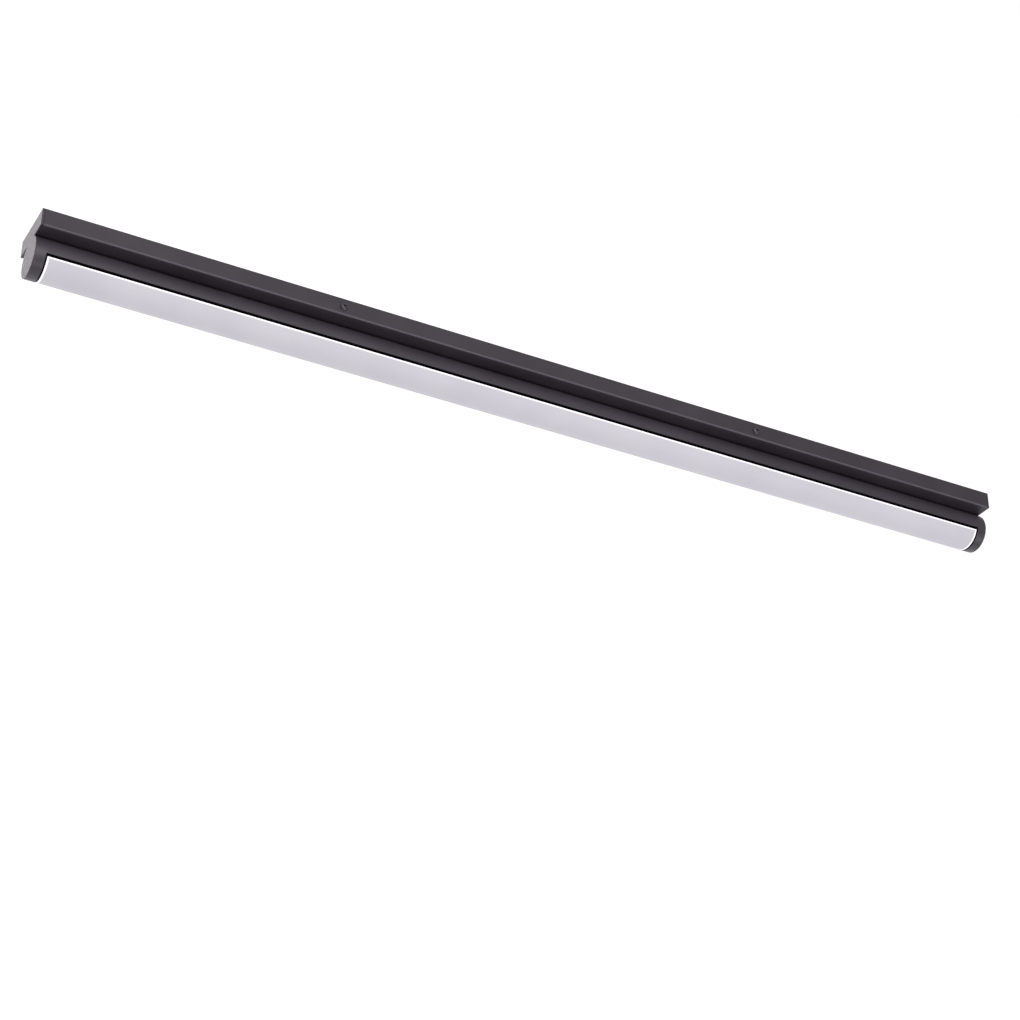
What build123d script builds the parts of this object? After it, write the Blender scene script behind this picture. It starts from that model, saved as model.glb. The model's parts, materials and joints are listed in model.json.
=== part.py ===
"""Vanity light bar: a shallow wall canopy with a round lamp tube along the middle of its front face.

The wall is the plane Y = 0 and the lamp stands out from it towards -Y. X runs along the bar, Z is up,
and the origin is the middle of the wall bracket's back. Depths are distances in front of the wall.
Left and right are as seen by someone facing the wall. All lengths are in millimetres.
"""

import math
import os

from build123d import *

# Outline of the bar
LENGTH = 1000.0
CANOPY_HEIGHT = 55.0
CANOPY_DEPTH = 17.0
TUBE_RADIUS = 19.2
TUBE_AXIS = 34.0
EDGE_ROUND = 0.6

# Canopy section
CANOPY_WALL = 1.5
CANOPY_FRONT = 1.8
CANOPY_INNER = CANOPY_HEIGHT / 2 - CANOPY_WALL
CANOPY_FLOOR = CANOPY_DEPTH - CANOPY_FRONT
LIP_FROM_FLOOR = 0.9
LIP_THICK = 0.8
LIP_TOP = CANOPY_FLOOR - LIP_FROM_FLOOR - LIP_THICK

# Tube section: angles are counted from straight ahead, both ways round
TUBE_WALL = 1.6
TUBE_INNER = TUBE_RADIUS - TUBE_WALL
BACK_WALL = 3.0
SHELF_DEPTH = 28.6
SHELF_THICK = 1.6
DIFFUSER_ANGLE = 70.5
DIFFUSER_THICK = 1.9
SHADOW_GAP_ANGLE = 4.5
SHADOW_GAP_END = 1.2
SHADOW_GAP_DEPTH = 0.6
TONGUE_OUTER = 17.9
TONGUE_INNER = 17.35
TONGUE_ANGLE = 77.5
GROOVE_OUTER = 18.0
GROOVE_INNER = 17.2
GROOVE_ANGLE = 79.0
GROOVE_LIP_INNER = 16.2

# Ends
CAP_PLATE = 2.0
CAP_BAND = 11.7
CAP_WALL = 2.4
CAP_ROUND = 0.5
SEAL_THICK = 0.5
PLUG_LENGTH = 8.0
CANOPY_END = LENGTH / 2 - CAP_PLATE - SEAL_THICK
TUBE_END = LENGTH / 2 - CAP_BAND

# Fixing screws on the canopy's upper side, and what they hold
FIX_X = 219.0
FIX_DEPTH = 9.0
FIX_RADIUS = 2.0
FIX_LENGTH = 11.0
FIX_HEAD_RADIUS = 4.0
FIX_HEAD_HEIGHT = 2.8
FIX_DOME_FLATTER = 1.35
FIX_SOCKET_FLATS = 2.5
FIX_SOCKET_DEPTH = 1.5
CLEAR_GAP = 0.3

# Wall bracket
SHEET = 1.5
BRACKET_LENGTH = 500.0
BRACKET_HEIGHT = 36.0
TAB_WIDTH = 25.0
TAB_REACH = 14.0
TAB_OUTER = CANOPY_INNER - CLEAR_GAP
TAB_SLOT = 5.4
CABLE_HOLE_RADIUS = 8.0
WALL_SLOT_X = 150.0
BOX_SLOT_X = 44.45
SLOT_LENGTH = 14.0
SLOT_RADIUS = 2.6
LUG_X = -34.0
LUG_SHEET = 1.5
LUG_SCREW_DEPTH = 8.0

# Lamp parts in the tube
BOARD_LENGTH = 476.0
BOARD_WIDTH = 22.0
BOARD_THICK = 1.6
TAPE_THICK = 0.2
BOARD_FACE = SHELF_DEPTH + TAPE_THICK + BOARD_THICK
BOARD_START = 1.0
LED_PITCH = 12.0
LED_COUNT = 40
LED_SIZE = (3.5, 0.8, 2.8)
BOARD_SCREW_X = (40.0, 190.0, 340.0, 460.0)
BOARD_SCREW_Z = 8.0

# Canopy contents
TUBE_SCREW_X = (110.0, 270.0, 455.0)
TUBE_SCREW_RADIUS = 1.5
TUBE_SCREW_CLEARANCE = 1.7
TUBE_SCREW_LENGTH = 8.0
TUBE_SCREW_HEAD = (2.9, 2.1)
TUBE_WASHER = (3.1, 1.6, 0.5)
EARTH_X = 110.0
BUSH_X = 246.0
BUSH_Z = -5.0
DRIVER = (284.0, 444.0)
DRIVER_HALF = 15.0
DRIVER_BACK = 2.4
DRIVER_LID = 1.2
DRIVER_WALL = 1.2
TERMINAL = (60.0, 80.0)
POLES = (8.0, 0.0, -8.0)
POLE_WELL = 2.2
LEAD_DEPTH = 8.4
LEAD_SPREAD = 0.95
MAINS_Z = (8.4, 5.6)
MAINS_WIRE = 0.95
LAMP_WIRE = 0.65
SADDLE_X = (162.0, 184.0)
GROMMET_RADIUS = 11.0
GROMMET_BORE = 5.0
GROMMET_FLANGE = 2.0
TAG_THICK = 0.8
BARREL_RADIUS = 1.6
NUT_HALF = 3.5
NUT_Z = (21.5, 23.9)
CAGE_BACK = 4.5
CAGE_SHEET = 0.8

# Driver contents: boxes as x, depth and height from and to, round parts by their middles
PCB_DEPTH = (10.4, 11.6)
PCB_HALF = 12.5
TRANSFORMER = (352.0, 372.0, 5.6, PCB_DEPTH[0], -9.0, 9.0)
WINDING_WINDOW = (356.0, 368.0, 5.0, 7.0, -10.0, 10.0)
RECTIFIER = (304.0, 309.0, 8.0, PCB_DEPTH[0], -6.0, 2.0)
CAPACITOR_RADIUS = 2.6
CAPACITOR_LENGTH = 20.0
CAPACITORS = ((312.0, 8.0), (392.0, -7.0))
CHOKE_X = 340.0
CHOKE_Z = -6.0
CHOKE_RADII = (4.5, 3.6)
CHOKE_DEPTHS = (5.8, 6.6, 9.6, PCB_DEPTH[0])
FUSE = (296.0, 306.0)
FUSE_RADIUS = 1.6
FUSE_Z = 7.0
TAPE_X = (300.0, 430.0)


# ---- helpers ----------------------------------------------------------------------------------------


def block(x0, x1, d0, d1, z0, z1):
    """A box from x0 to x1, from depth d0 to depth d1 and from z0 to z1."""
    middle = Pos((x0 + x1) / 2, -(d0 + d1) / 2, (z0 + z1) / 2)
    return middle * Box(x1 - x0, d1 - d0, z1 - z0)


def along_x(radius, x0, x1, depth, z):
    """A round bar along the lamp."""
    return Pos((x0 + x1) / 2, -depth, z) * Rot(0, 90, 0) * Cylinder(radius, x1 - x0)


def along_y(radius, x, d0, d1, z):
    """A round bar that points away from the wall."""
    return Pos(x, -(d0 + d1) / 2, z) * Rot(90, 0, 0) * Cylinder(radius, d1 - d0)


def along_z(radius, x, depth, z0, z1):
    """An upright round bar."""
    return Pos(x, -depth, (z0 + z1) / 2) * Cylinder(radius, z1 - z0)


def prism(section, x0, x1):
    """A section drawn as (Y, Z), run from x0 to x1."""
    return extrude(Plane.YZ.offset(x0) * section, amount=x1 - x0)


def strip(d0, d1, z0, z1):
    """A rectangle in a section, between two depths and two heights."""
    return Pos(-(d0 + d1) / 2, (z0 + z1) / 2) * Rectangle(d1 - d0, z1 - z0)


def disc(radius):
    """The tube's circle in a section."""
    return Pos(-TUBE_AXIS, 0) * Circle(radius)


def arc_strip(r_in, r_out, a0, a1):
    """A piece of the tube's wall in a section, between two radii and two angles from straight ahead."""

    def point(radius, angle):
        turn = math.radians(angle)
        return (-TUBE_AXIS - radius * math.cos(turn), radius * math.sin(turn))

    middle = (a0 + a1) / 2
    outer = ThreePointArc(point(r_out, a0), point(r_out, middle), point(r_out, a1))
    inner = ThreePointArc(point(r_in, a1), point(r_in, middle), point(r_in, a0))
    sides = Line(outer @ 1, inner @ 0) + Line(inner @ 1, outer @ 0)
    return make_face(outer + inner + sides)


def both_ways(r_in, r_out, a0, a1):
    """The same piece of tube wall above and below the middle."""
    return arc_strip(r_in, r_out, a0, a1) + arc_strip(r_in, r_out, -a1, -a0)


def joined(pieces):
    """Touching pieces made one solid."""
    whole = pieces[0]
    for piece in pieces[1:]:
        whole = whole + piece
    return whole


def group(pieces):
    """Separate solids that share one node."""
    return Compound(children=[solid for piece in pieces for solid in piece.solids()])


def mirrored(shape):
    """The same piece at the bar's other end."""
    return mirror(shape, about=Plane.YZ)


def pan_screw(x, z, seat, shank, length, head, height):
    """A pan-head screw driven away from the wall: its head is on the wall side of the depth seat."""
    body = along_y(head, x, seat - height, seat, z)
    body = fillet(body.edges().filter_by(GeomType.CIRCLE).sort_by(Axis.Y)[-1:], height * 0.4)
    slot = block(x - head, x + head, seat - height - 1, seat - height * 0.55, z - 0.4, z + 0.4)
    return body - slot + along_y(shank, x, seat, seat + length, z)


def wire(name, points, radius):
    """A round wire through its route, with each bend as large as its two runs allow."""
    radii = []
    for before, here, after in zip(points, points[1:], points[2:]):
        first = Vector(here) - Vector(before)
        second = Vector(after) - Vector(here)
        turn = math.radians(first.get_angle(second))
        radii.append(0.45 * min(first.length, second.length) / math.tan(turn / 2))
    path = FilletPolyline(*points, radius=radii)
    start = Plane(origin=path @ 0, z_dir=path % 0)
    solid = sweep(start * Circle(radius), path=path)
    share = solid.volume / (math.pi * radius**2 * path.length)
    print(name, "bends", [round(r, 1) for r in radii], "volume share", round(share, 4))
    return solid


# ---- what stays on the wall --------------------------------------------------------------------------


def bracket_strip():
    """A flat steel strip with slots for wall plugs and for an outlet box, and a hole for the cable."""
    half = BRACKET_LENGTH / 2
    plate = block(-half, half, 0, SHEET, -BRACKET_HEIGHT / 2, BRACKET_HEIGHT / 2)
    for x in (-WALL_SLOT_X, -BOX_SLOT_X, BOX_SLOT_X, WALL_SLOT_X):
        run = SLOT_LENGTH / 2 - SLOT_RADIUS
        plate -= block(x - run, x + run, -1, SHEET + 1, -SLOT_RADIUS, SLOT_RADIUS)
        plate -= along_y(SLOT_RADIUS, x - run, -1, SHEET + 1, 0)
        plate -= along_y(SLOT_RADIUS, x + run, -1, SHEET + 1, 0)
    return plate - along_y(CABLE_HOLE_RADIUS, 0, -1, SHEET + 1, 0)


def hanger(x):
    """A bent clip welded across the strip. Its upper tab has a slot that opens forwards."""
    ear = (x - TAB_WIDTH / 2, x + TAB_WIDTH / 2)
    web = block(*ear, SHEET, 2 * SHEET, -TAB_OUTER, TAB_OUTER)
    upper = block(*ear, SHEET, TAB_REACH, TAB_OUTER - SHEET, TAB_OUTER)
    lower = block(*ear, SHEET, TAB_REACH, -TAB_OUTER, -TAB_OUTER + SHEET)
    low, high = TAB_OUTER - SHEET - 1, TAB_OUTER + 1
    slot = along_z(TAB_SLOT / 2, x, FIX_DEPTH, low, high)
    slot += block(x - TAB_SLOT / 2, x + TAB_SLOT / 2, FIX_DEPTH, TAB_REACH + 1, low, high)
    return web + upper + lower - slot


def earth_lug():
    """An angle welded to the strip, with a tapped hole for the house earth's screw."""
    foot = block(LUG_X, LUG_X + 12, SHEET, SHEET + LUG_SHEET, -6, 6)
    upstand = block(LUG_X, LUG_X + LUG_SHEET, SHEET, 13, -6, 6)
    return foot + upstand - along_x(2.0, LUG_X - 1, LUG_X + LUG_SHEET + 1, LUG_SCREW_DEPTH, 0)


def cable_grommet():
    """A rubber bush that lines the bracket's cable hole."""
    collar = along_y(CABLE_HOLE_RADIUS, 0, 0, SHEET, 0)
    flange = along_y(GROMMET_RADIUS, 0, SHEET, SHEET + GROMMET_FLANGE, 0)
    return collar + flange - along_y(GROMMET_BORE, 0, -1, SHEET + GROMMET_FLANGE + 1, 0)


def bracket_earth_screw():
    """The house earth's screw, across the bracket's lug."""
    under = LUG_X - 2.7
    head = along_x(3.6, under - 2.6, under, LUG_SCREW_DEPTH, 0)
    cross = block(under - 3, under - 1.5, 4, 12, -0.5, 0.5) + block(under - 3, under - 1.5, 7.5, 8.5, -4, 4)
    return head - cross + along_x(1.98, under, under + 7, LUG_SCREW_DEPTH, 0)


def bracket_earth_washer():
    """The cup washer that traps the house earth under its screw."""
    cup = along_x(4.6, LUG_X - 2.7, LUG_X, LUG_SCREW_DEPTH, 0)
    cup -= along_x(3.8, LUG_X - 2, LUG_X + 1, LUG_SCREW_DEPTH, 0)
    return cup - along_x(2.1, LUG_X - 6, LUG_X + 4, LUG_SCREW_DEPTH, 0)


# ---- the canopy and the tube -------------------------------------------------------------------------


def canopy_housing():
    """An extruded channel, open to the wall, with T rails inside that hold the plates and cages."""
    half = CANOPY_HEIGHT / 2
    outline = strip(0, CANOPY_DEPTH, -half, half)
    corners = outline.vertices().sort_by(Axis.X)[:2]
    outline = fillet(corners, EDGE_ROUND)
    section = outline - strip(-1, CANOPY_FLOOR, -CANOPY_INNER, CANOPY_INNER)
    for side in (1, -1):
        for low, high, lip_low, lip_high in ((12, 13, 11, 14), (22.5, 23.5, 21.5, 23.5)):
            rail = sorted((side * low, side * high))
            lip = sorted((side * lip_low, side * lip_high))
            section += strip(LIP_TOP, CANOPY_FLOOR + 0.5, *rail)
            section += strip(LIP_TOP, LIP_TOP + LIP_THICK, *lip)
    housing = prism(section, -CANOPY_END, CANOPY_END)
    for x in (-FIX_X, FIX_X):
        housing -= along_z(2.25, x, FIX_DEPTH, CANOPY_INNER - 1, half + 1)
    for x in TUBE_SCREW_X:
        for side in (1, -1):
            reach = (CANOPY_FLOOR - 1, CANOPY_DEPTH + 1)
            housing -= along_y(TUBE_SCREW_CLEARANCE, side * x, *reach, 0)
    return housing - along_y(3.0, BUSH_X, CANOPY_FLOOR - 1, CANOPY_DEPTH + 1, BUSH_Z)


def tube_housing():
    """The lamp extrusion: a flat seat at the back, a shelf for the boards, and a diffuser groove."""
    front = -TUBE_AXIS - TUBE_RADIUS - 1
    shelf_back = SHELF_DEPTH - SHELF_THICK
    seat_back = CANOPY_DEPTH + BACK_WALL
    section = disc(TUBE_RADIUS) - strip(0, CANOPY_DEPTH, -30, 30)
    section -= disc(TUBE_INNER) & strip(seat_back, shelf_back, -30, 30)
    section -= disc(TUBE_INNER) & strip(SHELF_DEPTH, -front, -30, 30)
    step_angle = DIFFUSER_ANGLE + SHADOW_GAP_ANGLE
    section -= arc_strip(TUBE_INNER - 2, TUBE_RADIUS + 1, -DIFFUSER_ANGLE - 0.3, DIFFUSER_ANGLE + 0.3)
    section += both_ways(GROOVE_LIP_INNER, TUBE_INNER + 0.2, DIFFUSER_ANGLE - 3.5, GROOVE_ANGLE + 3)
    section -= both_ways(GROOVE_INNER, GROOVE_OUTER, DIFFUSER_ANGLE - 4, GROOVE_ANGLE)
    section -= both_ways(GROOVE_OUTER - 0.2, TUBE_RADIUS + 1, DIFFUSER_ANGLE - 4, DIFFUSER_ANGLE + 0.3)
    step_floor = TUBE_RADIUS - SHADOW_GAP_DEPTH
    section -= both_ways(step_floor, TUBE_RADIUS + 1, DIFFUSER_ANGLE - 4, step_angle)
    housing = prism(section, -TUBE_END, TUBE_END)
    for x in TUBE_SCREW_X:
        for side in (1, -1):
            housing -= along_y(TUBE_SCREW_RADIUS, side * x, CANOPY_DEPTH - 1, seat_back + 1, 0)
    for x in BOARD_SCREW_X:
        for side in (1, -1):
            housing -= along_y(1.25, side * x, shelf_back - 1, SHELF_DEPTH + 1, BOARD_SCREW_Z)
    housing -= along_y(3.0, BUSH_X, CANOPY_DEPTH - 1, seat_back + 1, BUSH_Z)
    return housing - along_y(3.0, BUSH_X, shelf_back - 1, SHELF_DEPTH + 1, BUSH_Z)


def diffuser():
    """The opal cover: an arc flush with the tube, with a tongue along each edge."""
    section = arc_strip(TUBE_RADIUS - DIFFUSER_THICK, TUBE_RADIUS, -DIFFUSER_ANGLE, DIFFUSER_ANGLE)
    section += both_ways(TONGUE_INNER, TONGUE_OUTER, DIFFUSER_ANGLE - 1, TONGUE_ANGLE)
    return prism(section, -TUBE_END, TUBE_END)


def end_cap_right():
    """One moulding: a plate over canopy and tube, a band that carries on the tube, and two plugs."""
    half = CANOPY_HEIGHT / 2
    end = LENGTH / 2
    plate_section = disc(TUBE_RADIUS) + strip(0, CANOPY_DEPTH, -half, half)
    cap = prism(plate_section, end - CAP_PLATE, end)
    cap = fillet(cap.faces().sort_by(Axis.X)[-1].outer_wire().edges(), CAP_ROUND)
    band = disc(TUBE_RADIUS) - strip(0, CANOPY_DEPTH, -30, 30)
    band -= disc(TUBE_RADIUS - CAP_WALL) - strip(0, CANOPY_DEPTH + CAP_WALL, -30, 30)
    cap += prism(band, TUBE_END, end - CAP_PLATE)
    step = arc_strip(TUBE_RADIUS - SHADOW_GAP_DEPTH, TUBE_RADIUS + 1, -DIFFUSER_ANGLE, DIFFUSER_ANGLE)
    cap -= prism(step, TUBE_END - 1, TUBE_END + SHADOW_GAP_END)
    canopy_plug = (end - CAP_PLATE - SEAL_THICK - PLUG_LENGTH, end - CAP_PLATE)
    reach = CANOPY_INNER - 0.15
    cap += block(*canopy_plug, 2, CANOPY_FLOOR - 0.15, reach - 1.4, reach)
    cap += block(*canopy_plug, 2, CANOPY_FLOOR - 0.15, -reach, -reach + 1.4)
    cap += block(*canopy_plug, CANOPY_FLOOR - 1.55, CANOPY_FLOOR - 0.15, -10.5, 10.5)
    plug = (TUBE_END - PLUG_LENGTH, TUBE_END + 1)
    cap += prism(arc_strip(15.6, 17.1, -60, 60), *plug)
    cap += prism(arc_strip(15.6, 17.1, -60, 60), TUBE_END, end - CAP_PLATE)
    seat_back = CANOPY_DEPTH + BACK_WALL
    chamber = strip(seat_back + 0.2, SHELF_DEPTH - SHELF_THICK - 0.2, -8, 8)
    chamber -= strip(seat_back + 1.6, SHELF_DEPTH - SHELF_THICK - 1.6, -6.6, 6.6)
    return cap + prism(chamber, TUBE_END - PLUG_LENGTH, end - CAP_PLATE)


def end_seal_right():
    """A thin rubber gasket between the cap's plate and the end of the canopy."""
    half = CANOPY_HEIGHT / 2 - 0.2
    section = strip(0, CANOPY_DEPTH - 0.2, -half, half)
    section -= strip(-1, CANOPY_FLOOR - 0.05, -CANOPY_INNER + 0.05, CANOPY_INNER - 0.05)
    return prism(section, CANOPY_END, CANOPY_END + SEAL_THICK)


def screw_lift(x):
    """The earth tag lies under one tube screw, which sits that much higher."""
    return TAG_THICK if x == EARTH_X else 0.0


def tube_screws():
    """Six machine screws from inside the canopy into the tube's back."""
    washer_thick = TUBE_WASHER[2]
    shank = TUBE_SCREW_RADIUS - 0.02
    pieces = []
    for x in TUBE_SCREW_X:
        for side in (1, -1):
            seat = CANOPY_FLOOR - washer_thick - screw_lift(side * x)
            screw = pan_screw(side * x, 0, seat, shank, TUBE_SCREW_LENGTH, *TUBE_SCREW_HEAD)
            pieces.append(screw)
    return group(pieces)


def tube_washers():
    """Spring washers under the tube screws."""
    outer, inner, thick = TUBE_WASHER
    pieces = []
    for x in TUBE_SCREW_X:
        for side in (1, -1):
            top = CANOPY_FLOOR - screw_lift(side * x)
            ring = along_y(outer, side * x, top - thick, top, 0)
            pieces.append(ring - along_y(inner, side * x, top - 1, top + 1, 0))
    return group(pieces)


def wire_bush():
    """A flanged nylon bush where the lamp leads pass from the canopy into the tube."""
    sleeve = along_y(3.0, BUSH_X, CANOPY_FLOOR, CANOPY_DEPTH + BACK_WALL, BUSH_Z)
    flange = along_y(4.4, BUSH_X, CANOPY_FLOOR - 1, CANOPY_FLOOR, BUSH_Z)
    return sleeve + flange - along_y(2.1, BUSH_X, 10, 22, BUSH_Z)


# ---- light source ------------------------------------------------------------------------------------


def led_board(side):
    """One aluminium-cored board. The right one has a hole for the lamp leads."""
    ends = sorted((side * BOARD_START, side * (BOARD_START + BOARD_LENGTH)))
    board = block(*ends, SHELF_DEPTH + TAPE_THICK, BOARD_FACE, -BOARD_WIDTH / 2, BOARD_WIDTH / 2)
    for x in BOARD_SCREW_X:
        board -= along_y(1.6, side * x, SHELF_DEPTH - 1, BOARD_FACE + 1, BOARD_SCREW_Z)
    if side > 0:
        board -= along_y(3.0, BUSH_X, SHELF_DEPTH - 1, BOARD_FACE + 1, BUSH_Z)
    return board


def thermal_tape():
    """Heat-conducting tape between the boards and their shelf."""
    pieces = []
    for side in (1, -1):
        ends = sorted((side * BOARD_START, side * (BOARD_START + BOARD_LENGTH)))
        tape = block(*ends, SHELF_DEPTH, SHELF_DEPTH + TAPE_THICK, -10, 10)
        for x in BOARD_SCREW_X:
            tape -= along_y(2.2, side * x, SHELF_DEPTH - 1, SHELF_DEPTH + 1, BOARD_SCREW_Z)
        if side > 0:
            tape -= along_y(3.2, BUSH_X, SHELF_DEPTH - 1, SHELF_DEPTH + 1, BUSH_Z)
        pieces.append(tape)
    return group(pieces)


def leds(side):
    """One row of LED packages at an even pitch."""
    length, height, width = LED_SIZE
    pieces = []
    for index in range(LED_COUNT):
        x = side * (BOARD_START + LED_PITCH * (index + 0.5))
        top = BOARD_FACE + height
        pieces.append(block(x - length / 2, x + length / 2, BOARD_FACE, top, -width / 2, width / 2))
    return group(pieces)


def board_screws():
    """Screws that hold the boards down, driven towards the wall."""
    pieces = []
    for x in BOARD_SCREW_X:
        for side in (1, -1):
            head = along_y(2.6, side * x, BOARD_FACE, BOARD_FACE + 1.7, BOARD_SCREW_Z)
            slot = block(side * x - 3, side * x + 3, BOARD_FACE + 1, BOARD_FACE + 2, 7.7, 8.3)
            shank = along_y(1.23, side * x, BOARD_FACE - 5.5, BOARD_FACE, BOARD_SCREW_Z)
            pieces.append(head - slot + shank)
    return group(pieces)


def board_link():
    """The bridge connector where the two boards meet."""
    body = block(-6, 6, BOARD_FACE, BOARD_FACE + 3, -8.6, -2.4)
    return body - block(-3, 3, BOARD_FACE + 2, BOARD_FACE + 4, -7.4, -3.6)


def board_connector():
    """The socket on the right board that takes the lamp leads."""
    body = block(262, 270, BOARD_FACE, BOARD_FACE + 4, -8.4, -1.8)
    for z in (-LEAD_SPREAD, LEAD_SPREAD):
        body -= along_x(LAMP_WIRE, 261, 266, BOARD_FACE + 2, BUSH_Z + z)
    return body


# ---- driver ------------------------------------------------------------------------------------------


def wire_holes(x0, x1):
    """Where the wires enter the driver's inner end."""
    holes = [along_x(MAINS_WIRE, x0, x1, LEAD_DEPTH, z) for z in MAINS_Z]
    holes += [along_x(LAMP_WIRE, x0, x1, LEAD_DEPTH, BUSH_Z + z) for z in (-LEAD_SPREAD, LEAD_SPREAD)]
    return joined(holes)


def driver_base():
    """The driver's moulded tray, which rests on the canopy's rails."""
    x0, x1 = DRIVER
    front = LIP_TOP - 0.1
    tray = block(x0, x1, DRIVER_BACK + DRIVER_LID, front, -DRIVER_HALF, DRIVER_HALF)
    inside = DRIVER_HALF - DRIVER_WALL
    tray -= block(x0 + DRIVER_WALL, x1 - DRIVER_WALL, 0, front - DRIVER_WALL, -inside, inside)
    return tray - wire_holes(x0 - 1, x0 + DRIVER_WALL + 1)


def driver_lid():
    """The driver's snap-on lid, with a rim that drops inside the tray."""
    x0, x1 = DRIVER
    lid = block(x0, x1, DRIVER_BACK, DRIVER_BACK + DRIVER_LID, -DRIVER_HALF, DRIVER_HALF)
    inside = DRIVER_HALF - DRIVER_WALL - 0.1
    rim_back = DRIVER_BACK + DRIVER_LID
    edge = DRIVER_WALL + 0.1
    rim = block(x0 + edge, x1 - edge, rim_back, rim_back + 1.5, -inside, inside)
    rim -= block(x0 + edge + 1, x1 - edge - 1, 0, 10, -inside + 1, inside - 1)
    lid = fillet(lid.edges().filter_by(Axis.Y), 1.0)
    return lid + rim


def driver_board():
    """The driver's circuit board."""
    return block(DRIVER[0] + 8, DRIVER[1] - 3, *PCB_DEPTH, -PCB_HALF, PCB_HALF)


def driver_transformer():
    """A flat ferrite transformer, with a window where its winding lies."""
    return block(*TRANSFORMER) - block(*WINDING_WINDOW)


def driver_capacitors():
    """Two electrolytic capacitors, laid flat along the board."""
    depth = PCB_DEPTH[0] - CAPACITOR_RADIUS - 0.1
    return group([along_x(CAPACITOR_RADIUS, x, x + CAPACITOR_LENGTH, depth, z) for x, z in CAPACITORS])


def driver_choke():
    """A drum choke: two flanges and a winding between them."""
    flange, core = CHOKE_RADII
    back, rear, near, front = CHOKE_DEPTHS
    flanges = along_y(flange, CHOKE_X, back, rear, CHOKE_Z) + along_y(flange, CHOKE_X, near, front, CHOKE_Z)
    return flanges + along_y(core, CHOKE_X, rear, near, CHOKE_Z)


def driver_rectifier():
    """The bridge rectifier."""
    return block(*RECTIFIER)


def driver_fuse():
    """A tubular fuse."""
    return along_x(FUSE_RADIUS, *FUSE, PCB_DEPTH[0] - FUSE_RADIUS - 0.1, FUSE_Z)


def driver_tape():
    """Foam tape between the canopy's floor and the driver."""
    return block(*TAPE_X, LIP_TOP - 0.1, CANOPY_FLOOR, -10, 10)


# ---- wiring ------------------------------------------------------------------------------------------


def terminal_plate():
    """A thin steel plate that slides in the middle rails and holds the terminal block."""
    floor_gap = LIP_FROM_FLOOR - 0.05
    plate = block(52, 88, CANOPY_FLOOR - floor_gap, CANOPY_FLOOR, -11.8, 11.8)
    return plate - along_y(1.25, 70, 13, 16, 4)


def terminal_block():
    """Three poles side by side, each with a well over both of its clamp screws."""
    x0, x1 = TERMINAL
    body = block(x0, x1, 3.4, LIP_TOP - 0.1, -12.4, 12.4)
    body += block(x0 + 2, x1 - 2, LIP_TOP - 0.1, CANOPY_FLOOR - LIP_FROM_FLOOR + 0.05, -10, 10)
    for z in POLES:
        body -= along_x(POLE_WELL, x0 - 1, x1 + 1, LEAD_DEPTH, z)
        for x in (x0 + 5, x1 - 5):
            body -= along_y(1.9, x, 2, LEAD_DEPTH, z)
    body -= along_y(1.3, 70, 2, 15.5, 4)
    return body - along_y(1.7, 70, 2, 10, 4)


def terminal_inserts():
    """The brass barrel of each pole."""
    x0, x1 = TERMINAL
    pieces = []
    for z in POLES:
        barrel = along_x(POLE_WELL, x0 + 1, x1 - 1, LEAD_DEPTH, z)
        barrel -= along_x(1.0, x0, x1, LEAD_DEPTH, z)
        for x in (x0 + 5, x1 - 5):
            barrel -= along_y(1.25, x, 4, LEAD_DEPTH, z)
        pieces.append(barrel)
    return group(pieces)


def terminal_screws():
    """The clamp screws of the terminal block."""
    x0, x1 = TERMINAL
    pieces = []
    for z in POLES:
        for x in (x0 + 5, x1 - 5):
            screw = along_y(1.7, x, 4.3, 6.0, z) + along_y(1.2, x, 6.0, 7.3, z)
            pieces.append(screw - block(x - 2, x + 2, 4, 4.9, z - 0.25, z + 0.25))
    return group(pieces)


def terminal_fixing_screw():
    """The screw through the terminal block into its plate."""
    head = along_y(1.6, 70, 7.6, 10, 4)
    return head - block(68, 72, 7, 8.4, 3.7, 4.3) + along_y(1.2, 70, 10, 15, 4)


def earth_tag():
    """A ring tag under one tube screw, with a crimp barrel that points to the terminal block."""
    top = CANOPY_FLOOR - TAG_THICK
    ring = along_y(3.9, EARTH_X, top, CANOPY_FLOOR, 0)
    ring += block(EARTH_X - 8, EARTH_X, top, CANOPY_FLOOR, -1.4, 1.4)
    barrel = along_x(BARREL_RADIUS, EARTH_X - 12, EARTH_X - 6, top - 1.2, 0)
    tag = ring - along_y(TUBE_WASHER[1], EARTH_X, 10, 18, 0) + barrel
    return tag - along_x(MAINS_WIRE, EARTH_X - 13, EARTH_X - 7, top - 1.2, 0)


def mains_live():
    """The live wire from the terminal block to the driver."""
    d = LEAD_DEPTH
    points = [(79, -d, 8), (108, -d - 1.2, 8.8), (140, -d - 2.6, 9.2), (204, -d - 2.6, 9.2)]
    points += [(238, -d - 1.0, 8.6), (264, -d, 8.4), (290, -d, 8.4)]
    return wire("mains_live", points, MAINS_WIRE)


def mains_neutral():
    """The neutral wire from the terminal block to the driver."""
    d = LEAD_DEPTH
    points = [(79, -d, 0), (98, -d + 0.5, 0.8), (118, -d - 0.8, 4.8), (140, -d - 2.6, 6.7)]
    points += [(204, -d - 2.6, 6.7), (238, -d - 1.0, 6.0), (264, -d, 5.6), (290, -d, 5.6)]
    return wire("mains_neutral", points, MAINS_WIRE)


def earth_lead():
    """The earth wire from the terminal block to the ring tag."""
    end = CANOPY_FLOOR - 2.0
    points = [(79, -LEAD_DEPTH, -8), (85.5, -LEAD_DEPTH, -8), (94, -end, 0), (102, -end, 0)]
    return wire("earth_lead", points, MAINS_WIRE)


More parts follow.
